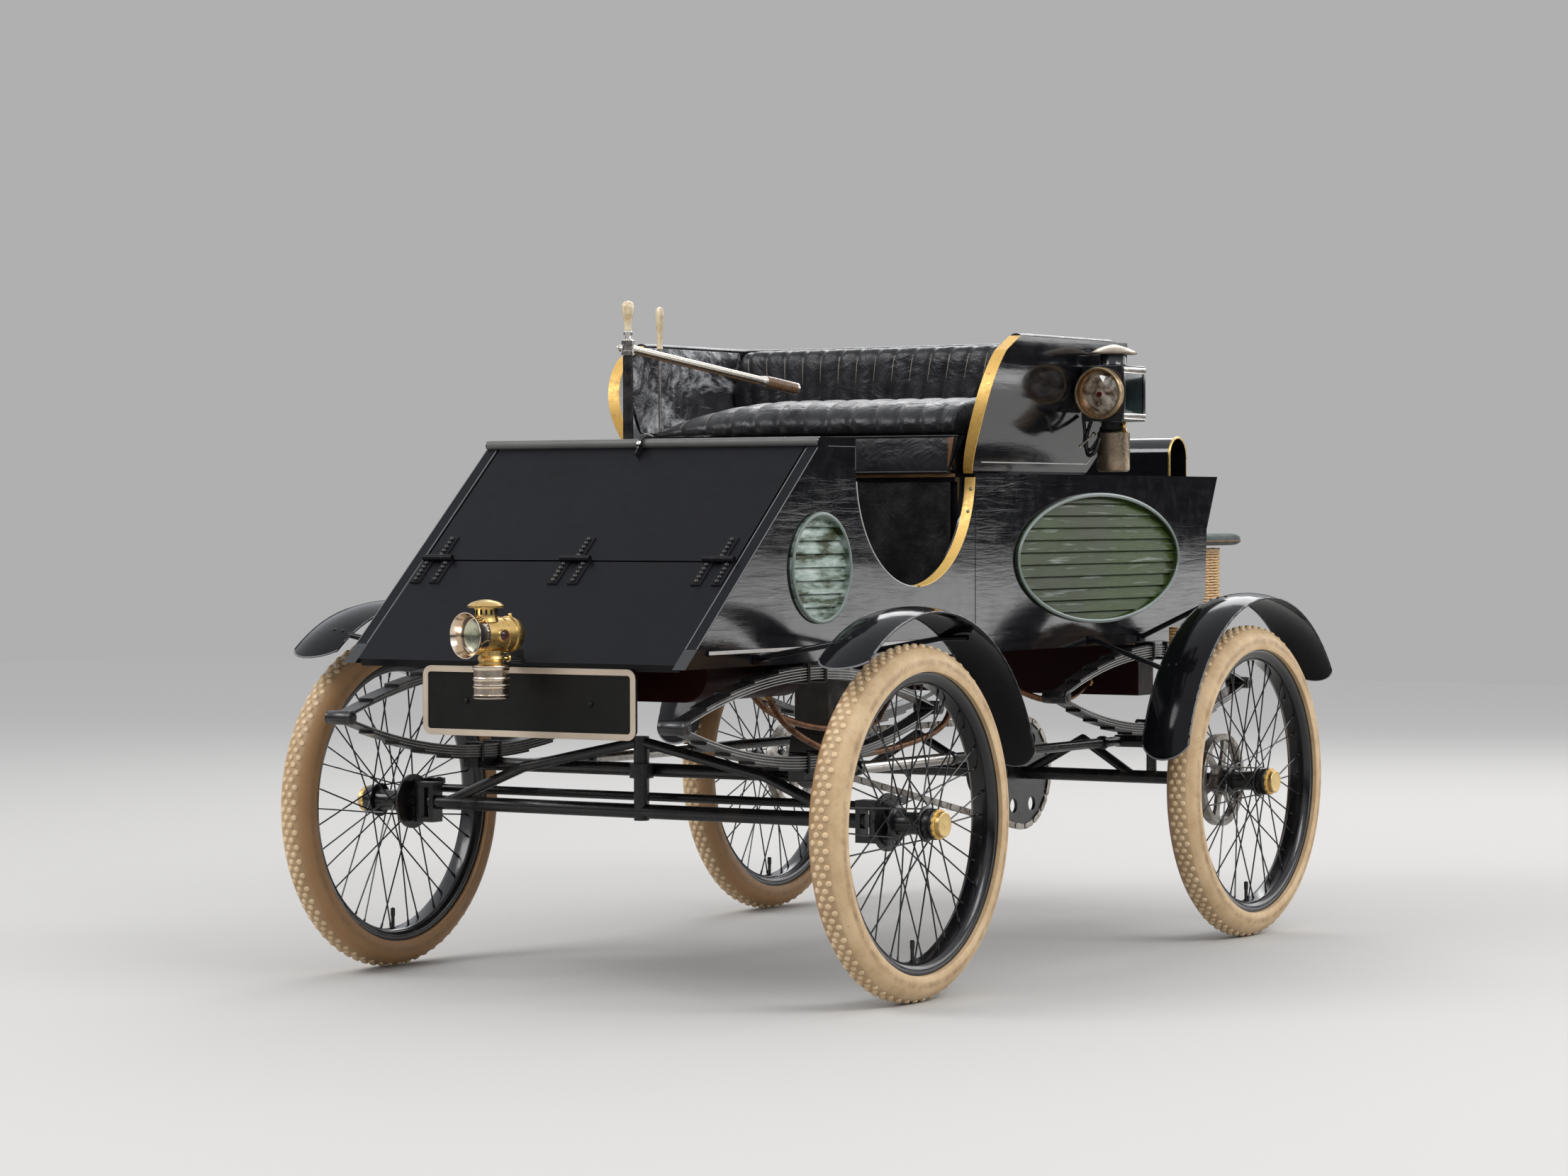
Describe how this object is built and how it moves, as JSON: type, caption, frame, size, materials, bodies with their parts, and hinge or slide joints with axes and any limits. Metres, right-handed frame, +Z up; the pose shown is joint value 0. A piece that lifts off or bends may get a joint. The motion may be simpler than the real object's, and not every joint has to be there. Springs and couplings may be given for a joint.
{
  "type": "light steam runabout",
  "caption": "Open two-seat steam car with tiller, wire wheels, tubular frame, leaf springs, sloped front box with folding lid, mudguards, lamps and a rear hamper.",
  "frame": {"origin": "middle of the overall length and width, on the ground", "axes": "+Z up, the car's front looks along -Y, +X is the car's left side"},
  "size_m": [1.447, 2.747, 1.4368],
  "materials": {
    "body_black": "gloss",
    "iron_black": "semi-gloss",
    "tyre_cream": "matt",
    "wheel_black": "gloss",
    "brass": "aged",
    "steel": "worn",
    "leather_black": "soft",
    "wicker": "natural",
    "lid_green": "dull",
    "plate_black": "gloss",
    "engine_iron": "rough",
    "maroon": "semi-gloss",
    "floor_wood": "dull",
    "lagging": "dull"
  },
  "bodies": {
    "chassis": {"front_axle": "iron_black", "rear_axle": "iron_black", "perch_frame": "iron_black", "springs": "iron_black", "hamper_rack": "iron_black", "sill_frame": "body_black", "cheeks": "body_black", "quarters": "body_black", "vents": "body_black", "ledge": "body_black", "lid_lower": "body_black", "tail": "body_black", "deck": "body_black", "seat_box": "body_black", "seat_shell": "body_black", "mudguards": "body_black", "tunnel_hood": "body_black", "chain": "steel", "floor": "floor_wood", "seat_cushion": "leather_black", "back_cushion": "leather_black", "hamper": "wicker", "front_lamp": "brass", "side_lamps": "brass", "number_plate": "plate_black", "tiller_post": "steel", "throttle": "steel", "engine": "engine_iron", "boiler": "lagging", "tanks": "maroon", "arm_trims": "brass"},
    "wheel_front_left": {"wheel_front_left": "wheel_black", "tyre_front_left": "tyre_cream"},
    "wheel_front_right": {"wheel_front_right": "wheel_black", "tyre_front_right": "tyre_cream"},
    "wheel_rear_left": {"wheel_rear_left": "wheel_black", "tyre_rear_left": "tyre_cream"},
    "wheel_rear_right": {"wheel_rear_right": "wheel_black", "tyre_rear_right": "tyre_cream"},
    "knuckle_left": {"knuckle_left": "iron_black"},
    "knuckle_right": {"knuckle_right": "iron_black"},
    "tie_rod": {"tie_rod": "iron_black"},
    "tiller": {"tiller": "steel"},
    "lid_upper": {"lid_upper": "body_black"},
    "hamper_lid": {"hamper_lid": "lid_green"}
  },
  "joints": [
    {"name": "spin_front_left", "type": "hinge", "parent": "knuckle_left", "child": "wheel_front_left", "pos_m": [0.6475, -0.7635, 0.356], "axis": [1, 0, 0], "continuous": true},
    {"name": "spin_front_right", "type": "hinge", "parent": "knuckle_right", "child": "wheel_front_right", "pos_m": [-0.6475, -0.7635, 0.356], "axis": [1, 0, 0], "continuous": true},
    {"name": "spin_rear_left", "type": "hinge", "parent": "chassis", "child": "wheel_rear_left", "pos_m": [0.6475, 0.7445, 0.356], "axis": [1, 0, 0], "continuous": true},
    {"name": "spin_rear_right", "type": "hinge", "parent": "chassis", "child": "wheel_rear_right", "pos_m": [-0.6475, 0.7445, 0.356], "axis": [1, 0, 0], "continuous": true},
    {"name": "tiller_turn", "type": "hinge", "parent": "chassis", "child": "tiller", "pos_m": [-0.168, -0.5635, 1.322], "axis": [0, 0, 1], "range_deg": [-30, 30]},
    {"name": "steer_left", "type": "hinge", "parent": "chassis", "child": "knuckle_left", "pos_m": [0.568, -0.7635, 0.356], "axis": [0, 0, 1], "range_deg": [-20, 20]},
    {"name": "steer_right", "type": "hinge", "parent": "chassis", "child": "knuckle_right", "pos_m": [-0.568, -0.7635, 0.356], "axis": [0, 0, 1], "range_deg": [-20, 20]},
    {"name": "tie_rod_pin", "type": "hinge", "parent": "knuckle_left", "child": "tie_rod", "pos_m": [0.568, -0.7015, 0.397], "axis": [0, 0, 1], "range_deg": [-20, 20]},
    {"name": "lid_fold", "type": "hinge", "parent": "chassis", "child": "lid_upper", "pos_m": [0, -0.99793, 0.88023], "axis": [1, 0, 0], "range_deg": [0, 120]},
    {"name": "hamper_lid_turn", "type": "hinge", "parent": "chassis", "child": "hamper_lid", "pos_m": [0, 1.0785, 0.88], "axis": [1, 0, 0], "range_deg": [0, 75]}
  ],
  "couplings": [
    {"joint": "steer_left", "follows": "tiller_turn", "ratio": 0.66},
    {"joint": "steer_right", "follows": "tiller_turn", "ratio": 0.66},
    {"joint": "tie_rod_pin", "follows": "tiller_turn", "ratio": -0.66}
  ]
}
